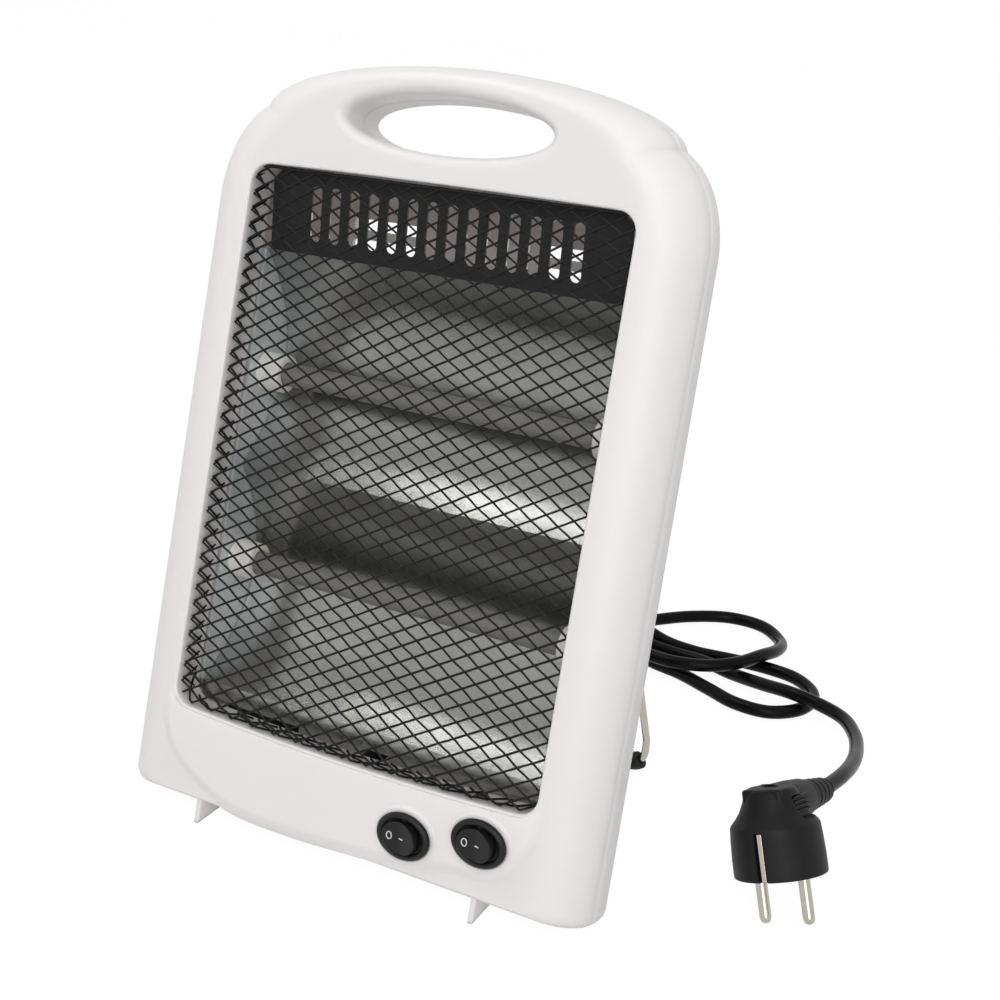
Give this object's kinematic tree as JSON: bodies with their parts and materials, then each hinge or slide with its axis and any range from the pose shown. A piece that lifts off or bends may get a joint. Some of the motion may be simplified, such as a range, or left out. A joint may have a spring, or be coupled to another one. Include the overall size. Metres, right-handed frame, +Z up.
{
  "type": "quartz heater",
  "caption": "Portable quartz heater: quartz tubes in a trough reflector behind a wire guard, white housing with a carrying handle, rocker switches, folding wire stand, cord and plug.",
  "frame": {"origin": "on the surface the heater stands on, under the middle of its box without the cord and the plug", "axes": "+X to the right seen from the front, +Y from the front to the back, +Z up"},
  "size_m": [0.3003, 0.3331, 0.3172],
  "materials": {
    "white_plastic": "smooth moulded, slightly glossy",
    "black_net": "black enamel on steel wire",
    "black_plate": "satin black",
    "bright_sheet": "bright rolled",
    "frosted_quartz": "frosted grey",
    "ceramic": "unglazed white ceramic",
    "nickel": "nickel plated",
    "resistance_wire": "dull oxidised wire",
    "black_plastic": "fine grained",
    "black_rubber": "satin"
  },
  "bodies": {
    "heater": {"front_housing": "white_plastic", "rear_housing": "white_plastic", "guard_mesh": "black_net", "vent_plate": "black_plate", "reflector": "bright_sheet", "end_plate_left": "bright_sheet", "end_plate_right": "bright_sheet", "quartz_tube_lower": "frosted_quartz", "heating_coil_lower": "resistance_wire", "ceramic_cap_lower_left": "ceramic", "terminal_lower_left": "nickel", "ceramic_cap_lower_right": "ceramic", "terminal_lower_right": "nickel", "quartz_tube_upper": "frosted_quartz", "heating_coil_upper": "resistance_wire", "ceramic_cap_upper_left": "ceramic", "terminal_upper_left": "nickel", "ceramic_cap_upper_right": "ceramic", "terminal_upper_right": "nickel", "switch_body_left": "black_plastic", "switch_body_right": "black_plastic", "stand_bracket_left": "white_plastic", "bracket_screw_left": "nickel", "stand_bracket_right": "white_plastic", "bracket_screw_right": "nickel", "housing_screw_left_low": "nickel", "housing_screw_right_low": "nickel", "housing_screw_left_middle": "nickel", "housing_screw_right_middle": "nickel", "housing_screw_left_top": "nickel", "housing_screw_right_top": "nickel", "reflector_screw_left_low": "nickel", "reflector_screw_right_low": "nickel", "reflector_screw_left_high": "nickel", "reflector_screw_right_high": "nickel", "thermal_cutout": "black_plastic", "tip_switch_body": "black_plastic", "terminal_block": "ceramic", "cord_strain_relief": "black_plastic", "inner_lead": "black_rubber", "power_cord": "black_rubber", "plug_body": "black_plastic", "plug_pin_left": "nickel", "plug_pin_right": "nickel", "earth_contact_back": "nickel", "earth_contact_front": "nickel", "plug_strain_relief": "black_plastic"},
    "stand": {"stand_wire": "nickel", "rubber_sleeve_left": "black_rubber", "rubber_sleeve_right": "black_rubber"},
    "left_rocker": {"rocker_left": "black_plastic"},
    "right_rocker": {"rocker_right": "black_plastic"},
    "pendulum": {"tip_pendulum": "nickel"}
  },
  "joints": [
    {"name": "stand_fold", "type": "hinge", "parent": "heater", "child": "stand", "pos_m": [0, 0.02127, 0.15111], "axis": [-1, 0, 0], "range_deg": [0, 34]},
    {"name": "left_switch", "type": "hinge", "parent": "heater", "child": "left_rocker", "pos_m": [0.033, -0.07083, 0.02596], "axis": [0, 0.1045, 0.9945], "range_deg": [0, 18]},
    {"name": "right_switch", "type": "hinge", "parent": "heater", "child": "right_rocker", "pos_m": [0.0658, -0.06907, 0.03305], "axis": [0, 0.1045, 0.9945], "range_deg": [0, 18]},
    {"name": "tip_over_swing", "type": "hinge", "parent": "heater", "child": "pendulum", "pos_m": [-0.06, -0.03713, 0.03386], "axis": [1, 0, 0], "range_deg": [-20, 20]}
  ]
}
